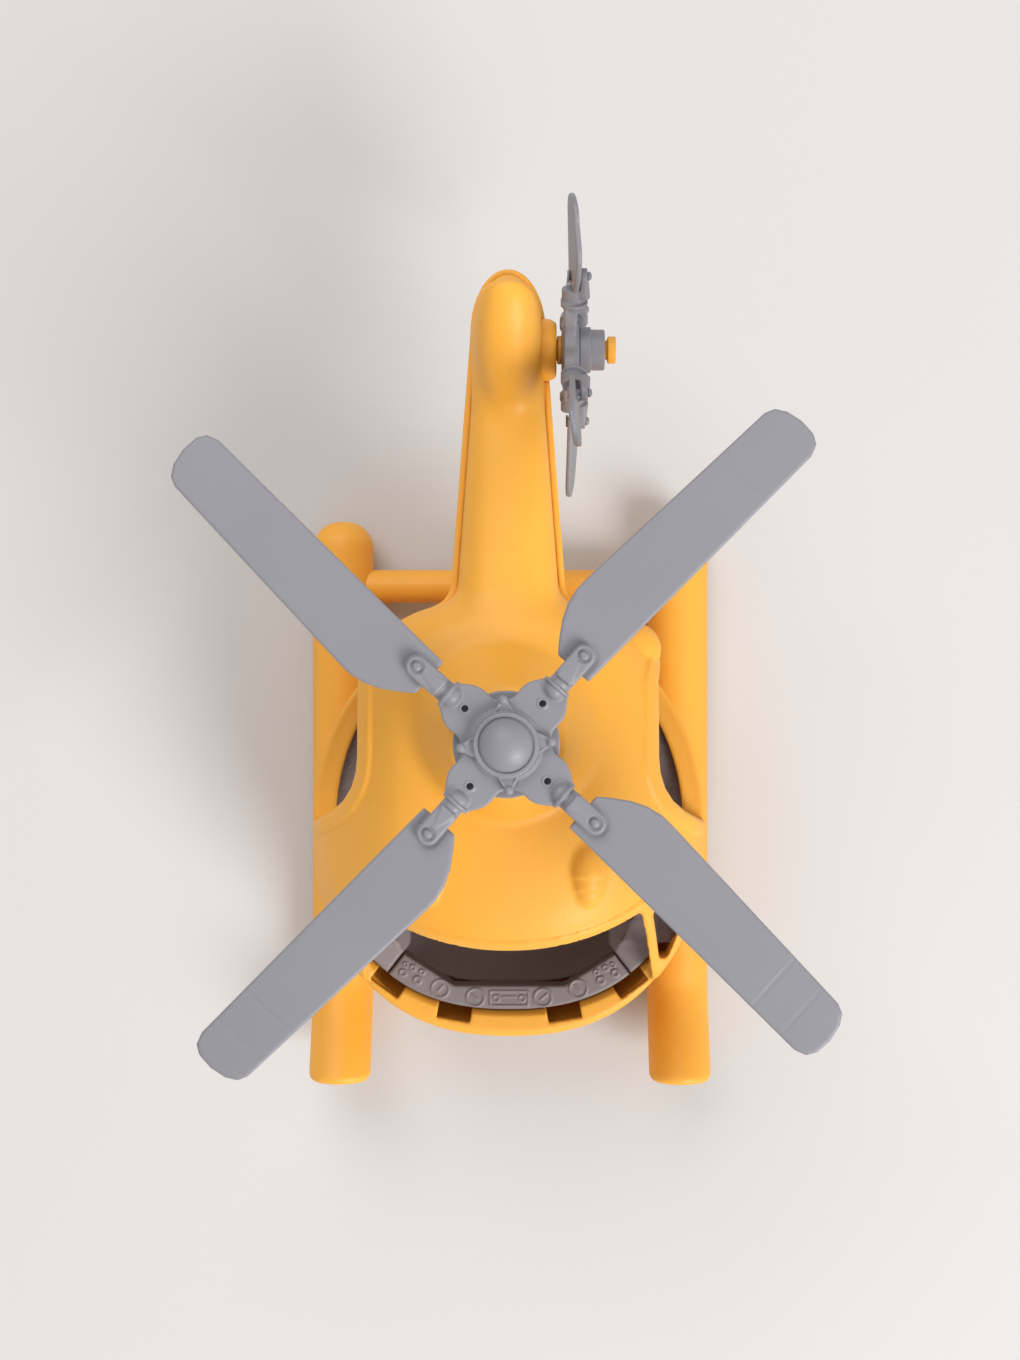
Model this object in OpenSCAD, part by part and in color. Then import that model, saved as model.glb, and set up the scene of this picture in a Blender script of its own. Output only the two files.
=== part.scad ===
// Toy helicopter on two float tubes, with an open cabin, a four-blade main
// rotor and a four-blade tail rotor. Millimetres, +Z up, nose towards -Y.
// The origin is on the ground under the middle of the bounding box.

/* [Body] */
// Overall length, float tips to the tail rotor's reach
overall_l = 284; // [278:1:290]
// Greatest width of the cabin
cabin_w = 129.2; // [124:0.2:134]
// Height of the roof
roof_z = 110; // [108:0.5:112]
// Wall thickness of the two yellow shells
wall = 2.4; // [2:0.1:2.8]
// Height of the turret's flat top, where the mast comes out
turret_z = 128; // [126:0.5:129]
// Distance of the main rotor's axis ahead of the middle
hub_ahead = 23.8; // [22:0.1:25]

/* [Floats] */
// Diameter of each float tube
float_d = 21; // [20:0.1:22]
// Distance between the two floats' centre lines
float_pitch = 116.2; // [114:0.2:120]
// Diameter of the two cross tubes
cross_d = 11.5; // [10.5:0.1:12.5]
// Rise of the front ends
float_rise = 16; // [10:0.5:18]

/* [Main rotor] */
// Tip-to-tip diameter
rotor_d = 254; // [230:1:256]
// Angle of the first blade at rest, from +X
rotor_angle = 48.7; // [0:0.1:89]
// Thickness of the blades
blade_t = 2.6; // [2:0.1:3]
// Pitch of the main blades
blade_pitch = 3; // [0:0.5:4]

/* [Tail rotor] */
// Tip-to-tip diameter
tail_d = 104; // [96:1:108]
// Angle of the first blade at rest, above the boom line
tail_angle = 37.5; // [0:0.5:89]
// Height of the tail rotor's axis
tail_z = 92; // [90:0.5:93]
// Size of the tail rotor's hub against the main one
tail_scale = 0.76; // [0.7:0.01:0.8]

/* [Hidden] */

yellow = [0.98, 0.68, 0.22];
grey = [0.60, 0.60, 0.62];
dark = [0.45, 0.41, 0.41];

front_y = -overall_l / 2;
hub_y = -hub_ahead;
width_k = cabin_w / 129.2;
top_k = (roof_z - 60) / 50;
corners = 48;

// Heights of the main rotor, from the turret's top up
mast_base_z = turret_z + 1.8;
disc_z = 146;
hub_z = 149;
blade_z = 151.4;
grip_z = 154.4;
tail_y = overall_l / 2 - 43.2;
tail_x = 17.3;

mast_r = 6;
collar_r = 9;
bush_r = 8;
pin_r = 3;
running = 0.05;
float_r = float_d / 2;
float_z = float_r - 0.3;
float_x = float_pitch / 2;
cross_r = cross_d / 2;
cross_z = 11;
cross_front_y = -79.5;
cross_rear_y = 27.5;

// Plan slices of the cabin: height, half width, front end, rear end
cabin_slices = [
  [17, 38, -97.5, -7.5],
  [22, 48, -107.5, 0.5],
  [30, 57, -116.5, 8],
  [40, 62.5, -122, 13.5],
  [50, 64.6, -124, 17],
  [60, 64.4, -119, 19],
  [75, 59.5, -109.5, 20],
  [90, 50, -99, 20],
  [98, 43.5, -92.5, 18.5],
  [104, 37, -84.5, 15.5],
  [108, 29, -71.5, 9.5],
  [110, 22, -59.5, 2.5]];

// Stations along the tail boom, from inside the cabin to the tip
boom_stations = [9, 20, 44, 68, 92, 104.5, 110.5, 115.5, 119.5, 122.5, 124.1, 124.7];

function ramp(v, a, b) = max(0, min(1, (v - a) / (b - a)));
function smooth(t) = t * t * (3 - 2 * t);
function power(v, n) = sign(v) * pow(abs(v), 2 / n);
function raised(z) = z > 60 ? 60 + (z - 60) * top_k : z;

// A plan outline with a blunt round front and a rear that is boxier higher up
function plan(half_w, front, rear, z, blunt = 2.35) = [
  for (i = [0:corners - 1])
    let (a = 360 * i / corners, middle = -51.5 + 10 * ramp(z, 60, 90))
    let (n = sin(a) < 0 ? blunt : 2 + 1.2 * ramp(z, 60, 90))
    let (reach = sin(a) < 0 ? middle - front : rear - middle)
    [half_w * power(cos(a), n), middle + reach * power(sin(a), n)]];

// Half width, half height and mid height of the boom at a station
function boom_round(y) = y < 104.5 ? 1 : pow(1 - pow(min(1, (y - 104.5) / 20.3), 2.2), 1 / 2.2);
function boom_w(y) = 18.4 - (min(y, 104.5) - 20) * 0.076;
function boom_h(y) = 17.5 - 6.2 * ramp(y, 20, 98);
function boom_mid(y) = 88 + 3 * ramp(y, 20, 98);
function oval(w, h, n) = [
  for (i = [0:35])
    [w * power(cos(10 * i), n), h * power(sin(10 * i), n)]];

module thin(z) {
  translate([0, 0, z])
    linear_extrude(0.02)
      children();
}

// The closed cabin, or its cavity when inset by the wall
module cabin(inset) {
  for (i = [0:len(cabin_slices) - 2])
    hull()
      for (s = [cabin_slices[i], cabin_slices[i + 1]])
        thin(raised(s[0]) + inset * (s[0] < 50 ? (50 - s[0]) / 33 : (50 - s[0]) / 60))
          polygon(plan(s[1] * width_k - inset, s[2] + inset, s[3] - inset, s[0]));
}

module boom_slice(y, inset) {
  w = boom_w(y) * boom_round(y) - inset;
  h = boom_h(y) * boom_round(y) - inset;
  translate([0, y, boom_mid(y)])
    rotate([90, 0, 0])
      linear_extrude(0.02)
        polygon(oval(max(0.4, w), max(0.4, h), 2.6));
}

module boom(inset, first, last) {
  for (i = [first:last - 1])
    hull() {
      boom_slice(boom_stations[i], inset);
      boom_slice(boom_stations[i + 1], inset);
    }
}

module turret(inset) {
  hull() {
    translate([0, hub_y + 3.5, 100])
      cylinder(r = 30.6 - inset, h = 6, $fn = 64);
    translate([0, hub_y, turret_z - 3 - inset])
      cylinder(r1 = 19 - inset, r2 = 16.5 - inset, h = 3, $fn = 64);
  }
}

module fin(inset) {
  hull() {
    translate([0, 106.5, 95])
      cylinder(r = 10.4 - inset, h = 16, $fn = 40);
    translate([0, 87.5, 95])
      cylinder(r = 9 - inset, h = 10, $fn = 40);
    translate([0, 109.3, 118.5 - inset])
      sphere(r = 9.1 - inset, $fn = 40);
  }
}

// Where the upper shell meets the lower hull, seen from the side
split = [[-200, 46], [-101.5, 46], [-77.5, 58], [2.5, 58], [15.5, 89], [200, 91]];

module side_extrude(points) {
  translate([-100, 0, 0])
    rotate([90, 0, 90])
      linear_extrude(200)
        polygon(points);
}

module below_split(drop) {
  side_extrude(concat([[200, -10], [-200, -10]], [for (p = split) [p[0], p[1] - drop]]));
}

module above_split() {
  side_extrude(concat(split, [[200, 200], [-200, 200]]));
}

// Openings, cut straight down through the sloping walls
ring_top_z = 52;

// The open front: all that stands above the nose ring, between roof and pillars
module windshield_cut() {
  intersection() {
    translate([-100, -150, ring_top_z])
      cube([200, 100, 100]);
    linear_extrude(200)
      difference() {
        polygon([[-39.1, -70], [39.1, -70], [50.1, -130], [-50.1, -130]]);
        translate([0, -4.7])
          circle(r = 86, $fn = 120);
      }
  }
}

module quarter_cut(side) {
  scale([side, 1, 1])
    translate([0, 0, 50])
      linear_extrude(70)
        polygon([[46.2, -78.5], [58.6, -78.5], [50.9, -98], [49.6, -98]]);
}

module door_cut(side) {
  scale([side, 1, 1])
    translate([0, 0, 50])
      linear_extrude(48)
        polygon([[47.5, -4.5], [47.5, -31.5], [49.5, -38.5], [54, -44.5], [63, -51], [70, -51.5],
                 [70, -0.5], [50, -0.5]]);
}

module slot_cut(x, y, turn) {
  translate([x, y, 40])
    rotate([0, 0, turn])
      translate([-5.8, -1.7, 0])
        cube([11.6, 5.9, 20]);
}

module upper_shell() {
  color(yellow)
    difference() {
      intersection() {
        union() {
          cabin(0);
          turret(0);
          boom(2.2, 0, 11);
          fin(0);
          for (side = [-1, 1]) {
            hull() {
              translate([side * 25, -61.5, 106])
                sphere(r = 5, $fn = 24);
              translate([side * 25, -68.5, 105])
                sphere(r = 5.5, $fn = 24);
            }
            translate([side * 41, 4.5, 84])
              sphere(r = 7.5, $fn = 32);
          }
        }
        above_split();
      }
      difference() {
        union() {
          cabin(wall);
          turret(wall);
          boom(2.2 + wall, 1, 10);
          fin(wall);
        }
        nose_flange();
      }
      windshield_cut();
      for (side = [-1, 1]) {
        quarter_cut(side);
        door_cut(side);
        slot_cut(side * 18.3, -116.1, side * 10);
        slot_cut(side * 40.6, -106.1, side * 36);
      }
      translate([0, hub_y, 90])
        cylinder(r = bush_r + 0.05, h = 60, $fn = 96);
      housing_room();
    }
}

// Flat frame that thickens the nose ring inwards
module nose_flange() {
  difference() {
    translate([-100, -151.5, 40])
      cube([200, 74, 13]);
    translate([0, 0, 30])
      linear_extrude(30)
        polygon(plan(60.4, -114.5, 0, 50));
  }
}

module housing_room() {
  translate([5, tail_y, tail_z])
    rotate([0, 90, 0])
      cylinder(r = 9.9, h = 20, $fn = 64);
}

module lower_hull() {
  color(yellow)
    union() {
      difference() {
        intersection() {
          union() {
            cabin(0);
            boom(0, 0, 11);
          }
          below_split(0);
        }
        difference() {
          union() {
            cabin(wall);
            boom(wall, 1, 10);
          }
          sill_rim();
        }
        housing_room();
      }
    }
}

// Rim that thickens the hull's edge inwards under the doors
module sill_rim() {
  difference() {
    translate([-100, -76.5, 54.5])
      cube([200, 76, 3.5]);
    translate([0, 0, 50])
      linear_extrude(20)
        polygon(plan(57, -131.5, 13, 58));
  }
}

ledge_z = 50;
floor_z = 26;
dash_z = 38;
bench_rear = -18;
tub_wall = 1.8;

// The footwell's outline, wider and longer towards its top
module well_slice(z, inset) {
  t = ramp(z, floor_z - tub_wall, dash_z);
  thin(z)
    polygon(plan(41.5 + 4.5 * t - inset, -98 - 9.5 * t + inset, -6.2 - inset, 20, 3));
}

module well(inset, base, top) {
  hull() {
    well_slice(base, inset);
    well_slice(dash_z - 0.04, inset);
  }
  translate([0, 0, dash_z - 0.04])
    linear_extrude(top - dash_z)
      polygon(plan(46 - inset, -107.5 + inset, -6.2 - inset, 20, 3));
}

// Cockpit insert: side ledges around a deep footwell, with a bench across it
module cockpit_tub() {
  color(dark)
    difference() {
      union() {
        translate([0, 0, ledge_z])
          linear_extrude(2)
            intersection() {
              polygon(plan(61.6, -121, 14, 58));
              translate([-80, -92])
                square([160, 92]);
            }
        difference() {
          well(0, floor_z - tub_wall, ledge_z + 1);
          translate([-80, -120, dash_z - 0.05])
            cube([160, 27.5, 40]);
        }
        for (side = [-1, 1])
          scale([side, 1, 1])
            translate([0, 0, 44])
              linear_extrude(8)
                polygon([[33, -84], [33, -94], [36.3, -96.2], [40.6, -101.6], [45.8, -96.5],
                         [49.4, -92], [49.4, -91], [47, -91], [47, -84]]);
        translate([-36, bench_rear, ledge_z])
          cube([72, 6, 12]);
      }
      difference() {
        well(tub_wall, floor_z, 52.2);
        translate([-80, bench_rear - 24, 20])
          cube([160, 60, 20]);
        translate([-80, bench_rear, 20])
          cube([160, 60, 60]);
        for (side = [-1, 1])
          scale([side, 1, 1])
            translate([33, -102, 43.9])
              cube([20, 18, 20]);
      }
    }
}

// Instrument panel: a band with a three-segment inner edge and a round front
module dashboard() {
  color(dark)
    translate([0, 0, dash_z])
      linear_extrude(13)
        difference() {
          polygon(plan(60, -114.1, 0, 50));
          polygon([[34.9, -96], [42.2, -105.5], [60, -105.5], [60, 30], [-60, 30], [-60, -105.5],
                   [-42.2, -105.5], [-34.9, -96], [-18.3, -106.3], [18.3, -106.3]]);
        }
}

function float_lift(y) = float_rise * smooth(ramp(-y, 108, 150)) / smooth(ramp(-front_y, 108, 150));
float_stations = [-108, -117, -126, -133, -139, -141.3];

module float_ring(y, r) {
  translate([0, y, float_z + float_lift(y)])
    rotate([90, 0, 0])
      cylinder(r = r, h = 0.02, $fn = 32);
}

// A closed hollow tube with a round rear end, an upswept front and a flat sole
module float_tube(side) {
  color(yellow)
    translate([side * float_x, 0, 0])
      difference() {
        union() {
          for (i = [0:4])
            hull() {
              float_ring(float_stations[i], float_r);
              float_ring(float_stations[i + 1], i == 4 ? float_r - 1.6 : float_r);
            }
          hull() {
            float_ring(-141.3, float_r - 1.6);
            float_ring(front_y + 0.02, float_r - 4);
          }
          translate([0, -108, float_z])
            rotate([-90, 0, 0])
              cylinder(r = float_r, h = 149.5, $fn = 64);
          translate([0, 41.5, float_z])
            rotate([-90, 0, 0])
              rotate_extrude($fn = 64)
                intersection() {
                  union() {
                    square([float_r - 7, 8.5]);
                    translate([float_r - 7, 1.5])
                      circle(r = 7, $fn = 48);
                  }
                  square([float_r, 8.5]);
                }
        }
        translate([0, -106, float_z])
          rotate([-90, 0, 0])
            cylinder(r = float_r - 2, h = 146, $fn = 64);
        for (y = [cross_front_y, cross_rear_y])
          translate([0, y, cross_z])
            rotate([0, -side * 90, 0])
              cylinder(r = cross_r, h = 20, $fn = 48);
        translate([-20, -160, -20])
          cube([40, 240, 20]);
      }
}

module left_float() {
  float_tube(-1);
}

module right_float() {
  float_tube(1);
}

module cross_tube(y) {
  color(yellow)
    translate([-float_x + 5, y, cross_z])
      rotate([0, 90, 0])
        difference() {
          cylinder(r = cross_r, h = 2 * float_x - 10, $fn = 48);
          translate([0, 0, -1])
            cylinder(r = cross_r - 2, h = 2 * float_x, $fn = 48);
        }
}

module front_cross_tube() {
  cross_tube(cross_front_y);
}

module rear_cross_tube() {
  cross_tube(cross_rear_y);
}

module tube_bore(y) {
  translate([-60, y, cross_z])
    rotate([0, 90, 0])
      cylinder(r = cross_r, h = 120, $fn = 48);
}

// Block under the belly that grips the front cross tube
module front_saddle() {
  color(yellow)
    difference() {
      translate([-22, cross_front_y - 9, 3.5])
        cube([44, 18, 13.5]);
      tube_bore(cross_front_y);
    }
}

// Arm from the belly back to the rear cross tube
module rear_pylon() {
  color(yellow)
    difference() {
      hull() {
        translate([-12, -42, 10])
          cube([24, 30, 7]);
        translate([-12, cross_rear_y, cross_z])
          rotate([0, 90, 0])
            cylinder(r = 8.5, h = 24, $fn = 32);
      }
      tube_bore(cross_rear_y);
      translate([-30, -60, 17])
        cube([60, 120, 30]);
    }
}

// Flanged bush pressed into the turret's top
module mast_bush() {
  color(grey)
    translate([0, hub_y, 0])
      difference() {
        union() {
          translate([0, 0, turret_z - 14])
            cylinder(r = bush_r, h = 15, $fn = 64);
          translate([0, 0, turret_z])
            cylinder(r = bush_r + 2, h = 1.5, $fn = 64);
        }
        translate([0, 0, turret_z - 20])
          cylinder(r = mast_r + running, h = 30, $fn = 64);
      }
}

module mast() {
  color(grey)
    translate([0, hub_y, 0]) {
      translate([0, 0, turret_z - 19])
        cylinder(r = mast_r, h = disc_z - turret_z + 19, $fn = 64);
      translate([0, 0, mast_base_z])
        cylinder(r = 8.4, h = disc_z - mast_base_z, $fn = 64);
      translate([0, 0, disc_z])
        cylinder(r = 4, h = 8.5, $fn = 64);
    }
}

// Collar that snaps onto the mast under the bush and keeps the rotor in
module mast_collar() {
  color(grey)
    translate([0, hub_y, turret_z - 17])
      difference() {
        cylinder(r = collar_r, h = 2.5, $fn = 64);
        translate([0, 0, -1])
          cylinder(r = mast_r, h = 5, $fn = 64);
      }
}

module swash_disc() {
  color(grey)
    translate([0, hub_y, disc_z])
      difference() {
        cylinder(r = 15.7, h = hub_z - disc_z, $fn = 96);
        translate([0, 0, -1])
          cylinder(r = 4, h = 6, $fn = 64);
      }
}

// Lays its children out on the four blade directions
module each_arm(first) {
  for (i = [0:3])
    rotate([0, 0, first + 90 * i])
      children();
}

// Spider with four lobes, double-collared arms and grips, k times life size
module spider(k, bore_r, drum_r) {
  difference() {
    union() {
      cylinder(r = drum_r, h = 5.5, $fn = 72);
      each_arm(0) {
        translate([15 * k, 0, 0.6])
          cylinder(r = 7.6 * k, h = 4, $fn = 48);
        translate([9.7 * k, -3.2 * k, 1])
          cube([19.3 * k, 6.4 * k, 6.4]);
        for (x = [20.9, 22.9])
          translate([x * k, 0, 3.6])
            rotate([0, 90, 0])
              cylinder(r = 4.05, h = 1.1 * k, $fn = 40);
        translate([27 * k, -3.3 * k, grip_z - hub_z])
          cube([7.2 * k, 6.6 * k, 3]);
        translate([34.2 * k, 0, grip_z - hub_z])
          cylinder(r = 3.3 * k, h = 3, $fn = 40);
      }
    }
    translate([0, 0, -1])
      cylinder(r = bore_r, h = 20, $fn = 64);
    each_arm(0) {
      translate([34.2 * k, 0, -1])
        cylinder(r = 1.15, h = 20, $fn = 32);
      translate([15.95 * k, 0, 1.6])
        cylinder(r = 0.9, h = 20, $fn = 24);
    }
  }
}

// Blade outline from root to tip, bulging to one side near the root
function blade_outline(k, tip) = [
  [29.2 * k, -5.9 * k],
  [tip - 6, -11.3 * k],
  [tip - 2.4, -10.2 * k],
  [tip - 0.6, -7.5 * k],
  [tip, -2.5 * k],
  [tip - 0.8, 2.6 * k],
  [tip - 2.6, 5.8 * k],
  [tip - 5.4, 7.2 * k],
  [52.5 * k, 14.2 * k],
  [47.5 * k, 14.5 * k],
  [42.5 * k, 13.6 * k],
  [37.9 * k, 11.7 * k],
  [33 * k, 8.6 * k],
  [29.2 * k, 5.8 * k]];

module blade(k, tip, thick, pitch) {
  difference() {
    rotate([pitch, 0, 0])
      translate([0, 0, -thick / 2])
        linear_extrude(thick)
          polygon(blade_outline(k, tip));
    translate([34.2 * k, 0, -5])
      cylinder(r = 1.15, h = 10, $fn = 32);
  }
}

// Dome-headed rivets through grip and blade
module rivets(k, base, top) {
  each_arm(0)
    translate([34.2 * k, 0, base]) {
      cylinder(r = 1.15, h = top - base, $fn = 32);
      translate([0, 0, top - base])
        intersection() {
          translate([0, 0, -1])
            sphere(r = 1.9, $fn = 32);
          cylinder(r = 3, h = 3, $fn = 32);
        }
      translate([0, 0, -0.6])
        cylinder(r = 2, h = 0.6, $fn = 32);
    }
}

module on_mast(z) {
  translate([0, hub_y, z])
    rotate([0, 0, rotor_angle])
      children();
}

module main_hub() {
  color(grey)
    on_mast(hub_z)
      spider(1, 4, 10.5);
}

module main_blade(index) {
  color(grey)
    on_mast(blade_z + blade_t / 2)
      rotate([0, 0, 90 * index])
        blade(1, rotor_d / 2, blade_t, blade_pitch);
}

module main_blade_1() {
  main_blade(0);
}

module main_blade_2() {
  main_blade(1);
}

module main_blade_3() {
  main_blade(2);
}

module main_blade_4() {
  main_blade(3);
}

module main_rivets() {
  color(grey)
    on_mast(0)
      rivets(1, blade_z - 0.15, grip_z + 3);
}

// Raised ring with four pointed horns that end in small balls
module horn_ring() {
  color(grey)
    on_mast(hub_z + 5.5)
      difference() {
        union() {
          cylinder(r = 9.6, h = 3, $fn = 72);
          each_arm(45) {
            linear_extrude(1.8)
              polygon([[8.5, -3.6], [13.4, -0.7], [13.4, 0.7], [8.5, 3.6]]);
            translate([13.4, 0, 1.1])
              sphere(r = 1.3, $fn = 24);
          }
        }
        translate([0, 0, -1])
          cylinder(r = 8.1, h = 6, $fn = 64);
      }
}

module hub_cap() {
  color(grey)
    on_mast(hub_z + 5.5)
      rotate_extrude($fn = 72)
        intersection() {
          union() {
            square([8, 3.2]);
            translate([0, -2.55])
              circle(r = 9.85, $fn = 96);
          }
          square([8, 12]);
        }
}

module on_tail(x) {
  translate([tail_x + x, tail_y, tail_z])
    rotate([0, 90, 0])
      rotate([0, 0, 90 + tail_angle])
        children();
}

module tail_hub() {
  color(grey)
    on_tail(0)
      spider(tail_scale, pin_r + running, 8.2);
}

module tail_blade(index) {
  color(grey)
    on_tail(blade_z - hub_z + 1.1)
      rotate([0, 0, 90 * index])
        blade(tail_scale, tail_d / 2, 2, 8);
}

module tail_blade_1() {
  tail_blade(0);
}

module tail_blade_2() {
  tail_blade(1);
}

module tail_blade_3() {
  tail_blade(2);
}

module tail_blade_4() {
  tail_blade(3);
}

module tail_rivets() {
  color(grey)
    on_tail(0)
      rivets(tail_scale, blade_z - hub_z - 0.25, grip_z - hub_z + 3);
}

module tail_cap() {
  color(grey)
    on_tail(5.5)
      difference() {
        union() {
          cylinder(r = 7.3, h = 3.6, $fn = 64);
          translate([0, 0, 3.6])
            cylinder(r = 6.4, h = 4.4, $fn = 64);
        }
        translate([0, 0, -1])
          cylinder(r = pin_r + running, h = 12, $fn = 64);
      }
}

// Block clamped between the boom halves that holds the axle pin
module tail_axle_housing() {
  color(yellow)
    translate([0, tail_y, tail_z])
      rotate([0, 90, 0])
        difference() {
          union() {
            translate([0, 0, -6.2])
              cylinder(r = 6.2, h = 13.2, $fn = 64);
            translate([0, 0, 6])
              cylinder(r = 9.75, h = 9.4, $fn = 64);
          }
          translate([0, 0, -2])
            cylinder(r = pin_r, h = 30, $fn = 64);
        }
}

// Axle pin: fixed in the boom, with a head that keeps the tail rotor on
module tail_axle_pin() {
  color(yellow)
    translate([0, tail_y, tail_z])
      rotate([0, 90, 0]) {
        translate([0, 0, -2])
          cylinder(r = pin_r, h = 34, $fn = 64);
        translate([0, 0, 15.4])
          cylinder(r = 4.5, h = 1.6, $fn = 64);
        translate([0, 0, 31.1])
          cylinder(r = 4.25, h = 2.9, $fn = 64);
      }
}

upper_shell();
lower_hull();
cockpit_tub();
dashboard();
left_float();
right_float();
front_cross_tube();
rear_cross_tube();
front_saddle();
rear_pylon();
mast_bush();
tail_axle_housing();
tail_axle_pin();
mast();
mast_collar();
swash_disc();
main_hub();
horn_ring();
hub_cap();
main_blade_1();
main_blade_2();
main_blade_3();
main_blade_4();
main_rivets();
tail_hub();
tail_cap();
tail_blade_1();
tail_blade_2();
tail_blade_3();
tail_blade_4();
tail_rivets();
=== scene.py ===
"""Looks of the moulded toy helicopter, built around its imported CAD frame.

Most pieces are meshed from distance fields, so that their walls, lips and fillets come out as one
smooth moulding. The fields work in millimetres in the frame's own axes: +Z up, nose towards -Y."""

import math

import bmesh
import bpy
import numpy as np
from mathutils import Matrix, Vector


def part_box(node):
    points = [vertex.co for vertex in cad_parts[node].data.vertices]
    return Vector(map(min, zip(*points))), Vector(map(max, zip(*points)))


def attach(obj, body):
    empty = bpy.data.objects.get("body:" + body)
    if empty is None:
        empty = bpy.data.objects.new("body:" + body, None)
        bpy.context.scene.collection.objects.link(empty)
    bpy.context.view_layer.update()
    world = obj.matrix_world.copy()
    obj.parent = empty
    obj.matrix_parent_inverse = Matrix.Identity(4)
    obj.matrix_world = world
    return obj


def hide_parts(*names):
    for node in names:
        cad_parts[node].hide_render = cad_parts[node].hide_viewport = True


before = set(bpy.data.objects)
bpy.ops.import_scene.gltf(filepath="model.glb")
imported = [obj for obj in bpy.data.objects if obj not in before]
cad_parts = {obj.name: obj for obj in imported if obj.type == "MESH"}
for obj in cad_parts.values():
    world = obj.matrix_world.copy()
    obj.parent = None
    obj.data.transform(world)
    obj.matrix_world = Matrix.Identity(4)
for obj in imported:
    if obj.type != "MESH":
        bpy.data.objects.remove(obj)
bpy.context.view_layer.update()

MM = 0.001
CELL = 0.8
FINE = 0.35
BUSH_FLANGE = 1.5


def box_mm(node):
    low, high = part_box(node)
    return np.array(low) / MM, np.array(high) / MM


# ---------------------------------------------------------------- places from the frame
cap_low, cap_high = box_mm("hub_cap")
hub_y = (cap_low[1] + cap_high[1]) / 2
bush_low, bush_high = box_mm("mast_bush")
turret_z = bush_high[2] - BUSH_FLANGE
disc_low, disc_high = box_mm("swash_disc")
hub_z = disc_high[2]
shell_top = box_mm("upper_shell")[1][2]
pin_low, pin_high = box_mm("tail_axle_pin")
tail_y = (pin_low[1] + pin_high[1]) / 2
tail_z = (pin_low[2] + pin_high[2]) / 2
# The near side of this box is the underside of the arms: the hub's own base is 0.45 mm further out
tail_x = box_mm("tail_hub")[0][0]
float_low, float_high = box_mm("right_float")
float_x = (float_low[0] + float_high[0]) / 2
mast_low = box_mm("mast")[0]
collar_low, collar_high = box_mm("mast_collar")

ROOF_Z = 110.0
BELLY_Z = box_mm("lower_hull")[0][2]
WALL = 2.4
ROTOR_ANGLE = math.radians(48.7)
ROTOR_R = 127.0
TAIL_ANGLE = math.radians(37.5)
TAIL_R = 52.0
TAIL_SCALE = 0.76


# ---------------------------------------------------------------- field tools
def soft_min(a, b, k):
    h = np.clip(0.5 + 0.5 * (b - a) / k, 0, 1)
    return b + (a - b) * h - k * h * (1 - h)


def soft_max(a, b, k):
    return -soft_min(-a, -b, k)


def smooth_step(v, low, high):
    t = np.clip((v - low) / (high - low), 0, 1)
    return t * t * (3 - 2 * t)


def unit_slope(field, x, y, z, step=0.4):
    """A field divided by its own slope, so that it reads as a distance near its surface."""
    f = field(x, y, z)
    dx = field(x + step, y, z) - f
    dy = field(x, y + step, z) - f
    dz = field(x, y, z + step) - f
    slope = np.sqrt(dx * dx + dy * dy + dz * dz) / step
    return f / np.maximum(slope, 0.2)


def smooth_table(stops, values, spread):
    """A table read by straight lines, then averaged over a window so that it has no corners."""
    dense = np.arange(stops[0] - 12, stops[-1] + 12.01, 0.25)
    inner = np.interp(dense, stops, values)
    first = (values[1] - values[0]) / (stops[1] - stops[0])
    last = (values[-1] - values[-2]) / (stops[-1] - stops[-2])
    inner = np.where(dense < stops[0], values[0] + first * (dense - stops[0]), inner)
    inner = np.where(dense > stops[-1], values[-1] + last * (dense - stops[-1]), inner)
    count = int(spread / 0.25) // 2 * 2 + 1
    window = np.hanning(count + 2)[1:-1]
    window /= window.sum()
    padded = np.concatenate([np.full(count // 2, inner[0]), inner, np.full(count // 2, inner[-1])])
    return dense, np.convolve(padded, window, "valid")


def polygon_field(x, y, points):
    """Distance to a polygon in a plane, negative inside."""
    best = np.full(np.shape(x), 1e9)
    sign = np.ones(np.shape(x))
    count = len(points)
    for i in range(count):
        ax, ay = points[i]
        bx, by = points[(i + 1) % count]
        ex, ey = bx - ax, by - ay
        wx, wy = x - ax, y - ay
        t = np.clip((wx * ex + wy * ey) / (ex * ex + ey * ey), 0, 1)
        best = np.minimum(best, (wx - ex * t) ** 2 + (wy - ey * t) ** 2)
        above = y >= ay
        below = y < by
        left = ex * wy > ey * wx
        flip = (above & below & left) | (~above & ~below & ~left)
        sign = np.where(flip, -sign, sign)
    return sign * np.sqrt(best)


def box_field(x, y, z, centre, half, radius):
    """A box with rounded edges; half is its half size over all."""
    q = [np.abs(v - c) - h + radius for v, c, h in zip((x, y, z), centre, half, strict=True)]
    outside = np.sqrt(sum(np.maximum(v, 0) ** 2 for v in q))
    return outside + np.minimum(np.maximum(np.maximum(q[0], q[1]), q[2]), 0) - radius


def slab(flat, height, low, high, radius):
    """A plane outline given height, with its edges rounded."""
    u = flat + radius
    v = np.abs(height - (low + high) / 2) - (high - low) / 2 + radius
    outside = np.sqrt(np.maximum(u, 0) ** 2 + np.maximum(v, 0) ** 2)
    return outside + np.minimum(np.maximum(u, v), 0) - radius


# Grid cells along a coarse block, and points worked out at once
BLOCK = 4
BATCH = 400000


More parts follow.
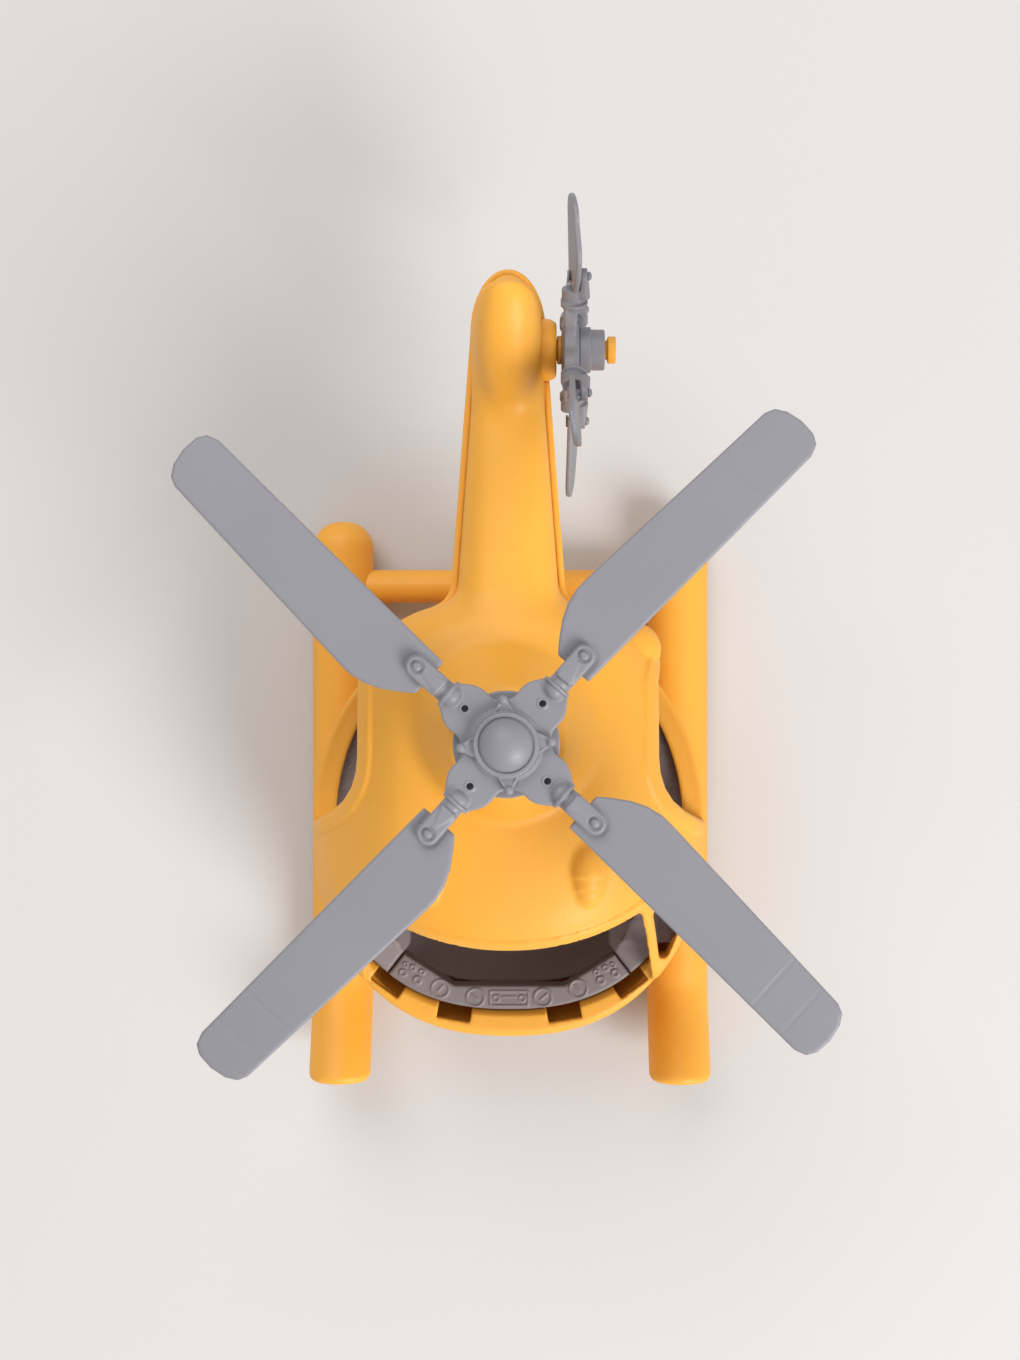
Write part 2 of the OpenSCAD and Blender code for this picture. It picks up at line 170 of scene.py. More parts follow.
def net(field, low, high, cell):
    """Vertices and faces of a field's zero surface, by surface nets on a grid that is only filled
    in near the surface, then moved onto the surface itself."""
    low = np.array(low, float)
    coarse = cell * BLOCK
    blocks = np.ceil((np.array(high) - low) / coarse).astype(int) + 1
    lines = [low[i] + coarse * np.arange(blocks[i] + 1) for i in range(3)]
    rough = field(*np.meshgrid(*lines, indexing="ij"))
    nearest = np.full(blocks, 1e9)
    for i in (0, 1):
        for j in (0, 1):
            for k in (0, 1):
                part = rough[i : i + blocks[0], j : j + blocks[1], k : k + blocks[2]]
                nearest = np.minimum(nearest, np.abs(part))
    near = nearest < coarse * 1.35
    reach = blocks * BLOCK
    size = reach + 1
    wanted = np.zeros(size, bool)
    for start in np.ndindex(BLOCK + 1, BLOCK + 1, BLOCK + 1):
        wanted[tuple(slice(a, a + r, BLOCK) for a, r in zip(start, reach, strict=True))] |= near
    fill = rough
    for axis in range(3):
        fill = np.repeat(fill, BLOCK, axis)
    values = np.where(fill[: size[0], : size[1], : size[2]] < 0, -coarse, coarse)
    spots = np.argwhere(wanted)
    for first in range(0, len(spots), BATCH):
        some = spots[first : first + BATCH]
        points = low + some * cell
        values[tuple(some.T)] = field(points[:, 0], points[:, 1], points[:, 2])
    inside = values < 0
    cells = size - 1
    corners = [(i, j, k) for i in (0, 1) for j in (0, 1) for k in (0, 1)]
    filled = np.zeros(cells, np.int8)
    for i, j, k in corners:
        filled += inside[i : i + cells[0], j : j + cells[1], k : k + cells[2]]
    active = (filled > 0) & (filled < 8)
    base = np.argwhere(active)
    number = np.full(cells, -1, np.int64)
    number[active] = np.arange(len(base))
    place = np.zeros((len(base), 3))
    hits = np.zeros(len(base))
    for a in corners:
        for axis in range(3):
            if a[axis]:
                continue
            b = list(a)
            b[axis] = 1
            va = values[tuple((base + a).T)]
            vb = values[tuple((base + b).T)]
            crossed = (va < 0) != (vb < 0)
            t = np.where(crossed, va / np.where(crossed, va - vb, 1), 0)
            spot = np.array(a, float) + t[:, None] * (np.array(b) - np.array(a))
            place[crossed] += spot[crossed]
            hits[crossed] += 1
    place = low + (base + place / hits[:, None]) * cell
    faces = []
    for axis in range(3):
        u, v = (axis + 1) % 3, (axis + 2) % 3
        one = np.moveaxis(inside, (axis, u, v), (0, 1, 2))
        ids = np.moveaxis(number, (axis, u, v), (0, 1, 2))
        start, end = one[:-1, 1:-1, 1:-1], one[1:, 1:-1, 1:-1]
        p = np.argwhere(start != end)
        p[:, 1:] += 1
        solid_first = one[p[:, 0], p[:, 1], p[:, 2]]
        ring = np.stack(
            [
                ids[p[:, 0], p[:, 1] - 1, p[:, 2] - 1],
                ids[p[:, 0], p[:, 1], p[:, 2] - 1],
                ids[p[:, 0], p[:, 1], p[:, 2]],
                ids[p[:, 0], p[:, 1] - 1, p[:, 2]],
            ],
            1,
        )
        ring[~solid_first] = ring[~solid_first][:, ::-1]
        faces.append(ring[(ring >= 0).all(1)])
    step = cell * 0.2
    for _ in range(3):
        x, y, z = place.T
        f = field(x, y, z)
        g = np.stack(
            [
                field(x + step, y, z) - field(x - step, y, z),
                field(x, y + step, z) - field(x, y - step, z),
                field(x, y, z + step) - field(x, y, z - step),
            ],
            1,
        ) / (2 * step)
        move = g * (f / np.maximum((g * g).sum(1), 0.05))[:, None]
        long = np.linalg.norm(move, axis=1)
        place = place - move * np.minimum(1, 0.45 * cell / np.maximum(long, 1e-9))[:, None]
    return place, np.concatenate(faces)


def show(name, mesh, material):
    """A smooth-shaded object from a mesh."""
    mesh.materials.append(material)
    mesh.shade_smooth()
    piece = bpy.data.objects.new(name, mesh)
    bpy.context.scene.collection.objects.link(piece)
    return piece


def add_mesh(name, verts, faces, material):
    """A smooth-shaded object from millimetre vertices."""
    mesh = bpy.data.meshes.new(name)
    mesh.from_pydata((np.asarray(verts) * MM).tolist(), [], np.asarray(faces).tolist())
    mesh.validate()
    return show(name, mesh, material)


def settle(piece, body, slot, *nodes):
    """Rides a piece on its body, in place of the CAD nodes it stands for."""
    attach(piece, body)
    if nodes:
        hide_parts(*nodes)
    return piece


def moved(verts, place):
    """Vertices carried from a piece's own axes to the frame's."""
    turn = np.array(place)
    return verts @ turn[:3, :3].T + turn[:3, 3]


def moulding(name, field, low, high, cell, material, place=None):
    """A piece meshed from a field, optionally moved from its own axes to the frame's."""
    verts, faces = net(field, low, high, cell)
    if place is not None:
        verts = moved(verts, place)
    return add_mesh(name, verts, faces, material)


def rounded(points, radius, steps=5):
    """A profile with each corner turned into an arc, or kept sharp where it lies on the axis."""
    out = []
    for i, (x, y) in enumerate(points):
        p = Vector((x, y))
        a = Vector(points[i - 1]) - p
        b = Vector(points[(i + 1) % len(points)]) - p
        if x < 1e-6:
            out.append((x, y))
            continue
        r = min(radius, a.length * 0.45, b.length * 0.45)
        first, last = p + a.normalized() * r, p + b.normalized() * r
        for s in range(steps + 1):
            t = s / steps
            q = first * (1 - t) ** 2 + p * 2 * t * (1 - t) + last * t * t
            out.append((q.x, q.y))
    return out


def lathe(name, profile, material, place, segments=96):
    """A closed profile of (radius, height) turned round the local Z axis."""
    bm = bmesh.new()
    rings = []
    for r, h in profile:
        if r < 1e-6:
            rings.append([bm.verts.new((0, 0, h))])
            continue
        angles = [2 * math.pi * s / segments for s in range(segments)]
        rings.append([bm.verts.new((r * math.cos(a), r * math.sin(a), h)) for a in angles])
    for i, ring in enumerate(rings):
        after = rings[(i + 1) % len(rings)]
        for s in range(segments):
            t = (s + 1) % segments
            if len(ring) == 1 and len(after) == 1:
                continue
            if len(ring) == 1:
                bm.faces.new((ring[0], after[t], after[s]))
            elif len(after) == 1:
                bm.faces.new((ring[s], ring[t], after[0]))
            else:
                bm.faces.new((ring[s], ring[t], after[t], after[s]))
    bmesh.ops.recalc_face_normals(bm, faces=bm.faces)
    bmesh.ops.transform(bm, matrix=Matrix.Scale(MM, 4) @ Matrix(place), verts=bm.verts)
    mesh = bpy.data.meshes.new(name)
    bm.to_mesh(mesh)
    bm.free()
    return show(name, mesh, material)


# ---------------------------------------------------------------- materials
def link(tree, a, b):
    tree.links.new(a, b)


def moulded_plastic(name, base, deep, worn, rough, grain, grain_depth, mottle=0.35, soft=0.0):
    """Satin moulded plastic: slow colour drift, fine spark grain, paler worn edges."""
    mat = bpy.data.materials.new(name)
    mat.use_nodes = True
    tree = mat.node_tree
    nodes = tree.nodes
    shader = nodes["Principled BSDF"]
    where = nodes.new("ShaderNodeTexCoord")
    drift = nodes.new("ShaderNodeTexNoise")
    drift.inputs["Scale"].default_value = 16
    drift.inputs["Detail"].default_value = 3
    link(tree, where.outputs["Object"], drift.inputs["Vector"])
    sparks = nodes.new("ShaderNodeTexNoise")
    sparks.inputs["Scale"].default_value = grain
    sparks.inputs["Detail"].default_value = 2
    link(tree, where.outputs["Object"], sparks.inputs["Vector"])
    tone = nodes.new("ShaderNodeMix")
    tone.data_type = "RGBA"
    tone.inputs["A"].default_value = (*base, 1)
    tone.inputs["B"].default_value = (*deep, 1)
    spread = nodes.new("ShaderNodeMapRange")
    spread.inputs["From Min"].default_value = 0.35
    spread.inputs["From Max"].default_value = 0.65
    spread.inputs["To Max"].default_value = mottle
    link(tree, drift.outputs["Fac"], spread.inputs["Value"])
    link(tree, spread.outputs["Result"], tone.inputs["Factor"])
    speck = nodes.new("ShaderNodeMix")
    speck.data_type = "RGBA"
    speck.inputs["B"].default_value = (*deep, 1)
    fleck = nodes.new("ShaderNodeMapRange")
    fleck.inputs["From Min"].default_value = 0.56
    fleck.inputs["From Max"].default_value = 0.72
    fleck.inputs["To Max"].default_value = 0.35
    link(tree, sparks.outputs["Fac"], fleck.inputs["Value"])
    link(tree, fleck.outputs["Result"], speck.inputs["Factor"])
    link(tree, tone.outputs["Result"], speck.inputs["A"])
    shape = nodes.new("ShaderNodeNewGeometry")
    edge = nodes.new("ShaderNodeMapRange")
    edge.inputs["From Min"].default_value = 0.54
    edge.inputs["From Max"].default_value = 0.64
    edge.inputs["To Max"].default_value = 0.4
    link(tree, shape.outputs["Pointiness"], edge.inputs["Value"])
    wear = nodes.new("ShaderNodeMix")
    wear.data_type = "RGBA"
    wear.inputs["B"].default_value = (*worn, 1)
    link(tree, edge.outputs["Result"], wear.inputs["Factor"])
    link(tree, speck.outputs["Result"], wear.inputs["A"])
    link(tree, wear.outputs["Result"], shader.inputs["Base Color"])
    gloss = nodes.new("ShaderNodeMapRange")
    gloss.inputs["From Min"].default_value = 0.3
    gloss.inputs["From Max"].default_value = 0.7
    gloss.inputs["To Min"].default_value = rough - 0.06
    gloss.inputs["To Max"].default_value = rough + 0.06
    link(tree, sparks.outputs["Fac"], gloss.inputs["Value"])
    link(tree, gloss.outputs["Result"], shader.inputs["Roughness"])
    bump = nodes.new("ShaderNodeBump")
    bump.inputs["Strength"].default_value = grain_depth
    bump.inputs["Distance"].default_value = 0.0002
    link(tree, sparks.outputs["Fac"], bump.inputs["Height"])
    link(tree, bump.outputs["Normal"], shader.inputs["Normal"])
    shader.inputs["Subsurface Weight"].default_value = soft
    shader.inputs["Subsurface Radius"].default_value = (0.004, 0.0015, 0.0004)
    shader.inputs["Subsurface Scale"].default_value = 1.0
    return mat


YELLOW = moulded_plastic(
    "yellow_plastic",
    base=(0.92, 0.43, 0.045),
    deep=(0.85, 0.36, 0.026),
    worn=(1.0, 0.52, 0.09),
    rough=0.5,
    grain=1500,
    grain_depth=0.16,
    soft=0.12,
)
GREY = moulded_plastic(
    "grey_plastic",
    base=(0.25, 0.246, 0.27),
    deep=(0.218, 0.214, 0.236),
    worn=(0.34, 0.335, 0.36),
    rough=0.46,
    grain=1500,
    grain_depth=0.12,
)
DARK = moulded_plastic(
    "dark_plastic",
    base=(0.245, 0.207, 0.207),
    deep=(0.205, 0.172, 0.172),
    worn=(0.34, 0.295, 0.295),
    rough=0.5,
    grain=1100,
    grain_depth=0.3,
)


# ---------------------------------------------------------------- shared body shapes
# Plan slices of the cabin: height, half width, front end, rear end
CABIN = np.array(
    [
        [17, 38, -97.5, -7.5],
        [22, 48, -107.5, 0.5],
        [30, 57, -116.5, 8],
        [40, 62.5, -122, 13.5],
        [50, 64.6, -124, 17],
        [60, 64.4, -119, 19],
        [75, 59.5, -109.5, 20],
        [90, 50, -99, 20],
        [98, 43.5, -92.5, 18.5],
        [104, 37, -84.5, 15.5],
        [108, 29, -71.5, 9.5],
        [110, 22, -59.5, 2.5],
    ]
)
heights, half_widths = smooth_table(CABIN[:, 0], CABIN[:, 1], 9)
fronts = smooth_table(CABIN[:, 0], CABIN[:, 2], 9)[1]
rears = smooth_table(CABIN[:, 0], CABIN[:, 3], 9)[1]
FRONT_POWER = 2.35
# Where the lower cabin is widest, and how far back that moves towards the roof
WIDEST_Y = -51.5
WIDEST_SHIFT = 10


def plan_field(x, y, half, front, rear, middle, power, front_power=FRONT_POWER):
    """A blunt round plan outline, as a rough distance."""
    ahead = y < middle
    reach = np.where(ahead, middle - front, rear - middle)
    n = np.where(ahead, front_power, power)
    u = np.abs(x) / np.maximum(half, 1)
    v = np.abs(y - middle) / np.maximum(reach, 1)
    g = (u**n + v**n) ** (1 / n)
    return (g - 1) * np.minimum(half, reach)


def cabin_wall(x, y, z):
    """The cabin's side walls, as a rough distance."""
    half = np.interp(z, heights, half_widths)
    front = np.interp(z, heights, fronts)
    rear = np.interp(z, heights, rears)
    t = np.clip((z - 60) / 30, 0, 1)
    middle = WIDEST_Y + WIDEST_SHIFT * t
    return plan_field(x, y, half, front, rear, middle, 2 + 1.2 * t)


def cabin(x, y, z):
    """The closed cabin, with a soft roof edge and a rounder belly."""
    wall = unit_slope(cabin_wall, x, y, z)
    return soft_max(soft_max(wall, z - ROOF_Z, 6), BELLY_Z - z, 7)


TURRET_FOOT = 104.0


def turret(x, y, z):
    """The soft cone under the mast, with its flat top."""
    t = np.clip((z - TURRET_FOOT) / (turret_z - TURRET_FOOT), 0, 1)
    middle = hub_y + 3.5 * (1 - t)
    radius = 31.2 - 14.2 * t**0.85
    cone = (np.hypot(x, y - middle) - radius) * 0.85
    return soft_max(cone, z - turret_z, 2)


BOOM_START = 20.0
BOOM_END = 98.0
BOOM_ROUND_Y = 104.5
BOOM_ROUND = 20.3
# How much slimmer the upper half of the boom is, which leaves the lower half's lip showing
BOOM_INSET = 2.2


def boom(x, y, z):
    """The tapering tail boom with its round tip, as a rough distance."""
    t = np.clip((y - BOOM_START) / (BOOM_END - BOOM_START), 0, 1)
    w = 18.4 - (np.clip(y, 0, BOOM_ROUND_Y) - BOOM_START) * 0.076
    h = 17.5 - 6.2 * t
    n = 2.6
    g = ((np.abs(x) / w) ** n + (np.abs(z - 88 - 3 * t) / h) ** n) ** (1 / n)
    tip = np.maximum(y - BOOM_ROUND_Y, 0) / BOOM_ROUND
    g = (g**2 + tip**2) ** 0.5
    return soft_max((g - 1) * h, 4 - y, 1)


def boom_distance(x, y, z):
    """The tail boom, with its distance in millimetres."""
    return unit_slope(boom, x, y, z)


def fin_wall(x, y, z):
    """The fat teardrop fin, whose front leans back as it rises."""
    t = np.clip((z - 97) / 30.6, 0, 1.4)
    front = 77.5 + 24 * t**1.3
    rear = 116.6 + 1.5 * t
    middle = (front + rear) / 2 + 4
    reach = np.where(y < middle, middle - front, rear - middle)
    n = 2.2
    u = (np.abs(x) / (10.6 - 0.7 * t)) ** n
    v = (np.abs(y - middle) / np.maximum(reach, 1)) ** n
    g = (u + v) ** (1 / n)
    top = np.maximum(z - 105, 0) / 22.6
    return ((g**2.5 + top**2.5) ** (1 / 2.5) - 1) * 9


def fin(x, y, z):
    """The fin, with its distance in millimetres."""
    return unit_slope(fin_wall, x, y, z)


def egg(x, y, z, centre, half):
    """An ellipsoid, as a rough distance."""
    q = np.sqrt(sum(((v - c) / h) ** 2 for v, c, h in zip((x, y, z), centre, half, strict=True)))
    return (q - 1) * min(half)


# Height of the line where the two shells meet, from the nose to the boom
SPLIT_Y = np.array([-200, -101.5, -77.5, 2.5, 15.5, 200])
SPLIT_Z = np.array([46, 46, 58, 58, 89, 91])
split_y, split_z = smooth_table(SPLIT_Y, SPLIT_Z, 7)
# Half the gap between the two shells
SEAM = 0.06


def above_split(y, z):
    """Height over the line where the two shells meet."""
    rise = np.interp(y, split_y, split_z)
    slope = (np.interp(y + 1, split_y, split_z) - rise) / 1
    return (z - rise) / np.sqrt(1 + slope * slope)


# The nose ring's top, the outline of its inner edge, and where it ends at the pillars
RING_TOP = 52.0
RING_HALF = 60.4
RING_FRONT = -114.5
RING_REAR = -77.5


def front_opening(x, y):
    """The open front between the roof's edge and the two front pillars."""
    roof_edge = 86 - np.hypot(x, y + 4.7)
    pillars = (np.abs(x) - 41.2 + (y + 81.3) * 0.183) * 0.984
    return soft_max(soft_max(roof_edge, pillars, 1.5), y + 60, 1)


# Corners of the right-hand window; the left one mirrors it
QUARTER = [(47.6, -79.8), (56.6, -79.8), (50.9, -94.4), (50.2, -94.4)]


def quarter_window(x, y):
    """The small triangular window behind each front pillar."""
    return polygon_field(np.abs(x), y, QUARTER) - 1.3


# Outline of the right-hand door, past the cabin's side; the left one mirrors it
DOOR = [
    (48.7, -5.7),
    (48.7, -29.0),
    (49.2, -34.0),
    (50.7, -38.6),
    (53.2, -42.4),
    (57, -45.8),
    (63, -49.3),
    (80, -49.9),
    (80, 3.5),
    (50.6, 3.5),
]


def doorway(x, y):
    """The open door on each side, in plan."""
    return polygon_field(np.abs(x), y, DOOR) - 1.2


# Snap slots of the nose ring: place and turn in degrees
SLOTS = [(18.3, -116.1, 10), (40.6, -106.1, 36)]
SLOT_HALF = 5.6
SLOT_FRONT, SLOT_REAR = -1.7, 4.2


def snap_slots(x, y):
    """The four slots through the nose ring, in plan."""
    best = np.full(np.shape(x), 1e9)
    for cx, cy, turn in SLOTS:
        a = math.radians(turn)
        u = (np.abs(x) - cx) * math.cos(a) + (y - cy) * math.sin(a)
        v = (y - cy) * math.cos(a) - (np.abs(x) - cx) * math.sin(a)
        across = np.maximum(v - SLOT_REAR, SLOT_FRONT - v)
        best = np.minimum(best, np.maximum(np.abs(u) - SLOT_HALF, across))
    return best


def border(x, y, z):
    """How far the raised lip round the windshield and the doors stands out."""
    roof = 1 - smooth_step(front_opening(x, y), 3.6, 4.8)
    door = 1 - smooth_step(doorway(x, y), 3.6, 5.4)
    fade = smooth_step(y, -62, -54)
    beside_door = door * fade * smooth_step(z, 60, 75)
    return np.maximum(0.9 * roof * smooth_step(z, 78, 90), beside_door)


def shell_outside(x, y, z):
    """Everything the upper shell is wrapped round: cabin, turret, boom, fin, bumps and scoops."""
    out = cabin(x, y, z) - border(x, y, z)
    out = soft_min(out, turret(x, y, z), 2.5)
    out = soft_min(out, boom_distance(x, y, z) + BOOM_INSET, 7)
    out = soft_min(out, fin(x, y, z), 5)
    ax = np.abs(x)
    out = soft_min(out, egg(ax, y, z, (40.6, 4.5, 84), (8, 8.5, 7.5)), 0.8)
    scoop = soft_max(egg(ax, y, z, (25, -64, 105), (5.6, 9, 6)), -66.3 - y, 0.5)
    front = soft_max(egg(ax, y, z, (25, -66, 104.6), (5.2, 8, 5.3)), -70.3 - y, 0.4)
    tip = egg(ax, y, z, (25, -68, 104), (4.6, 6.9, 4.6))
    scoop = soft_min(soft_min(scoop, front, 0.4), tip, 0.4)
    return soft_min(out, scoop, 1.4)


def shell_cavity(x, y, z):
    """The room inside the upper shell, less the frame that thickens the nose ring."""
    room = soft_min(cabin(x, y, z), turret(x, y, z), 2.5) + WALL
    behind = soft_max(boom_distance(x, y, z) + BOOM_INSET + WALL, BOOM_START - y, 1)
    room = np.minimum(room, behind)
    room = np.minimum(room, soft_max(fin(x, y, z) + WALL, 93 - z, 1))
    ledge = np.maximum(z - RING_TOP - 1, y - RING_REAR)
    ring = -plan_field(x, y, RING_HALF, RING_FRONT, 0, WIDEST_Y, FRONT_POWER)
    return soft_max(room, -np.maximum(ledge, ring), 0.6)


def housing_hole(x, y, z):
    """The hole in the boom's right side for the tail axle's boss."""
    return np.maximum(np.hypot(y - tail_y, z - tail_z) - 9.95, 5 - x)


def upper_shell(x, y, z):
    """The walls left between outside and cavity, with every opening cut and its edge rounded."""
    out = soft_max(shell_outside(x, y, z), -shell_cavity(x, y, z), 0.8)
    opening = front_opening(x, y)
    out = soft_max(out, -soft_max(opening, RING_TOP - z, 1), 5.5)
    out = soft_max(out, -soft_max(quarter_window(x, y), 50 - z, 0.5), 1.6)
    out = soft_max(out, -np.maximum(np.maximum(doorway(x, y), 50 - z), z - 98), 1.6)
    out = soft_max(out, -np.maximum(snap_slots(x, y), z - 60), 0.4)
    out = soft_max(out, SEAM - above_split(y, z), 0.4)
    out = soft_max(out, 8.1 - np.hypot(x, y - hub_y), 0.5)
    return soft_max(out, -housing_hole(x, y, z), 0.5)


def lower_hull(x, y, z):
    """The bowl under the cabin with its door sills, and the lower half of the boom."""
    outside = soft_min(cabin(x, y, z), boom_distance(x, y, z), 7)
    behind = soft_max(boom_distance(x, y, z) + WALL, BOOM_START - y, 1)
    room = np.minimum(cabin(x, y, z) + WALL, behind)
    rim = np.maximum(z - 58, 54.5 - z)
    rim = np.maximum(rim, -plan_field(x, y, 57, -131.5, 13, WIDEST_Y, 2))
    rim = np.maximum(rim, np.maximum(-76.5 - y, y + 0.5))
    room = soft_max(room, -rim, 0.8)
    out = soft_max(outside, -room, 0.8)
    out = soft_max(out, above_split(y, z) + SEAM, 0.8)
    return soft_max(out, -housing_hole(x, y, z), 0.5)


def make_shells():
    ceiling = shell_top + 2
    low, high = (-68, -128, 43), (68, 128, ceiling)
    top = moulding("body_upper_shell", upper_shell, low, high, CELL, YELLOW)
    settle(top, "airframe", "yellow_plastic", "upper_shell")
    low, high = (-68, -128, 14), (68, 128, 95)
    base = moulding("body_lower_hull", lower_hull, low, high, CELL, YELLOW)
    settle(base, "airframe", "yellow_plastic", "lower_hull")


# ---------------------------------------------------------------- cockpit
LEDGE_Z = 50.0
FLOOR_Z = 26.0
CHEEK_Z = 49.6
TUB_WALL = 1.8
# The line where the instrument panel ends and the sloping end walls begin
END_X, END_Y = 34.9, -96.0
DASH_BASE = 38.0
DASH_TOP = 51.0


def pebbles(x, y):
    """A cushion-like grain, about 2 mm from bump to bump."""
    a = np.sin(x * 2.9 + 0.7 * np.sin(y * 1.1)) * np.sin(y * 2.7 + 0.6 * np.sin(x * 1.3))
    b = np.sin((x + y) * 1.9 + 1.3) * np.sin((x - y) * 2.1)
    return 0.36 * a + 0.22 * b


def cheek_height(x, y):
    """The sloping end walls beside the instrument panel."""
    ax = np.abs(x)
    outward = np.clip((ax - 35) * 0.79 + (y + 96) * 0.61, -2, 12)
    inward = np.maximum((y + 96.3) * 0.414 - (ax - 35) * 0.911, 0)
    return CHEEK_Z + 0.22 * outward - 0.8 * inward


def past_panel(ax, y):
    """How far outside the instrument panel's end line a point lies."""
    return (ax - END_X) * 0.79 + (y - END_Y) * 0.61


def tub(x, y, z):
    """The cockpit insert: a footwell with a bench, pebbled side ledges and sloping end walls."""
    ax = np.abs(x)
    t = np.clip((z - 24) / 14, 0, 1)
    well_half, well_front = 41.5 + 4.5 * t, -98 - 9.5 * t
    outer = plan_field(x, y, well_half, well_front, -6.2, WIDEST_Y, 2, 3)
    inner = outer + TUB_WALL
    ledge_plan = plan_field(x, y, 61.6, -121, 14, WIDEST_Y, 2)
    ledge_plan = np.maximum(np.maximum(ledge_plan, -92 - y), y)
    grain = pebbles(x, y) * smooth_step(ax, 45, 47) * smooth_step(-ledge_plan, 0.5, 2)
    ledge = slab(ledge_plan, z - grain, LEDGE_Z, LEDGE_Z + 2, 0.6)
    low_wall = np.maximum(np.maximum(outer, 24 - z), z - DASH_BASE + 0.1)
    high_wall = np.maximum(np.maximum(outer, np.maximum(-92.5 - y, 37 - z)), z - LEDGE_Z - 1)
    body = np.minimum(low_wall, high_wall)
    body = np.minimum(body, ledge)
    back = box_field(x, y, z, (0, -15, 55), (36, 3, 7), 1.6)
    body = soft_min(body, back, 1)
    bench = soft_max(-42 - y, z - 40, 3)
    behind = -18 - y
    room = soft_max(inner, FLOOR_Z - z, 2)
    room = soft_max(room, -np.minimum(bench, behind), 1)
    body = soft_max(body, -room, 0.9)
    cheek = np.maximum(0.5 - past_panel(ax, y), 33 - ax)
    cheek = np.maximum(cheek, ax - np.where(y < -91, 49.4, 47))
    cheek = np.maximum(cheek, plan_field(x, y, 60.1, -114.2, 0, WIDEST_Y, FRONT_POWER))
    cheek = np.maximum(cheek, y + 84)
    cheek = slab(cheek, z - cheek_height(x, y), -6, 0, 0.7) * 0.8
    return soft_min(body, cheek, 0.6)


def dash_outline(x, y):
    """The panel's outline: a round front and a three-segment inner edge."""
    ax = np.abs(x)
    front = plan_field(x, y, 60.1, -114.25, 0, WIDEST_Y, 2)
    inner = np.minimum(y + 106.3, (y + 106.3) * 0.846 - (ax - 18.3) * 0.533)
    return np.maximum(np.maximum(front, inner), past_panel(ax, y))


# Places and radii of the dials and studs on each half of the panel
DIALS = [(11.2, -110.3, 2.9), (22.9, -107.4, 2.9)]
STUDS = [(31.9, -100.5, 1.1), (28.9, -101.9, 1.0), (30.4, -104.6, 1.5)]
STUDS += [(35.2, -102.2, 1.4), (34.3, -99.4, 0.9)]
SCREEN_Y = -110.6


def dash(x, y, z):
    """The instrument panel, with its dials, studs and screen in relief."""
    ax = np.abs(x)
    top = DASH_TOP - 0.4
    out = slab(dash_outline(x, y), z, DASH_BASE, top, 0.9)
    for cx, cy, r in DIALS:
        d = np.hypot(ax - cx, y - cy)
        rim = np.hypot(d - r, z - top) - 0.42
        turn = 0.7 if cx < 15 else 2.3
        u = (ax - cx) * math.cos(turn) + (y - cy) * math.sin(turn)
        v = (y - cy) * math.cos(turn) - (ax - cx) * math.sin(turn)
        needle = np.hypot(np.maximum(np.abs(u - 0.4) - 1.3, 0), np.hypot(v, z - top)) - 0.34
        out = soft_min(out, np.minimum(rim, needle), 0.2)
    for cx, cy, r in STUDS:
        d = np.hypot(ax - cx, y - cy)
        stud = np.maximum(d - r, np.abs(z - top) - 0.45)
        out = soft_min(out, stud, 0.4)
        out = soft_max(out, -np.maximum(d - r * 0.45, top + 0.1 - z), 0.2)
    frame_x = np.abs(ax) - 5.9
    frame_y = np.abs(y - SCREEN_Y) - 2.0
    outline = np.hypot(np.maximum(frame_x, 0), np.maximum(frame_y, 0)) + np.minimum(
        np.maximum(frame_x, frame_y), 0
    )
    bar = np.hypot(outline - 0.4, z - top) - 0.4
    key = np.hypot(np.hypot(ax - 4.3, y - SCREEN_Y) - 1.0, z - top) - 0.35
    wave = np.hypot(np.maximum(ax - 2.3, 0), np.hypot(y + 110.0, z - top)) - 0.3
    return soft_min(out, np.minimum(np.minimum(bar, key), wave), 0.2)


def make_cockpit():
    low, high = (-64, -110, 22), (64, 3, 64)
    insert = moulding("cockpit_insert", tub, low, high, CELL, DARK)
    settle(insert, "airframe", "dark_plastic", "cockpit_tub")
    low, high = (-43, -117, 36), (43, -92, 53.5)
    panel = moulding("instrument_panel", dash, low, high, FINE, DARK)
    settle(panel, "airframe", "dark_plastic", "dashboard")


# ---------------------------------------------------------------- floats and their cross tubes
FLOAT_R = 10.5
FLOAT_Z = 10.2
FLOAT_RISE = 16.0
CROSS_R = 5.75
CROSS_Z = 11.0
FRONT_TUBE_Y = -79.5
REAR_TUBE_Y = 27.5
PYLON_TOP = 16.95


def float_lift(y):
    """How far the upswept front end rises at a station."""
    run = smooth_step(-y, 108, 150)
    return FLOAT_RISE * run / smooth_step(np.array(-float_low[1]), 108, 150)


def float_tube(x, y, z):
    """A float: a tube with a round rear end, an upswept front end and a flat sole."""
    ax = np.abs(x)
    radial = np.hypot(ax - float_x, z - FLOAT_Z - float_lift(y))
    rear = y > -50
    corner = np.where(rear, 9.4, 3.0)
    middle = (float_low[1] + float_high[1]) / 2
    half = (float_high[1] - float_low[1]) / 2
    u = radial - FLOAT_R + corner
    v = np.abs(y - middle) - half + corner
    out = np.hypot(np.maximum(u, 0), np.maximum(v, 0)) + np.minimum(np.maximum(u, v), 0) - corner
    out = soft_max(out, -z, 0.8)
    seam = np.hypot(radial - FLOAT_R, z - FLOAT_Z - float_lift(y)) - 0.22
    return np.maximum(out, -seam)


def tube_between(y_axis):
    """A cross tube with its lengthwise parting line."""

    def field(x, y, z):
        radial = np.hypot(y - y_axis, z - CROSS_Z)
        out = slab(radial - CROSS_R, x, -53, 53, 0.4)
        groove = np.hypot(y - y_axis - 1.4, z - CROSS_Z - CROSS_R) - 0.3
        return np.maximum(out, -groove)

    return field


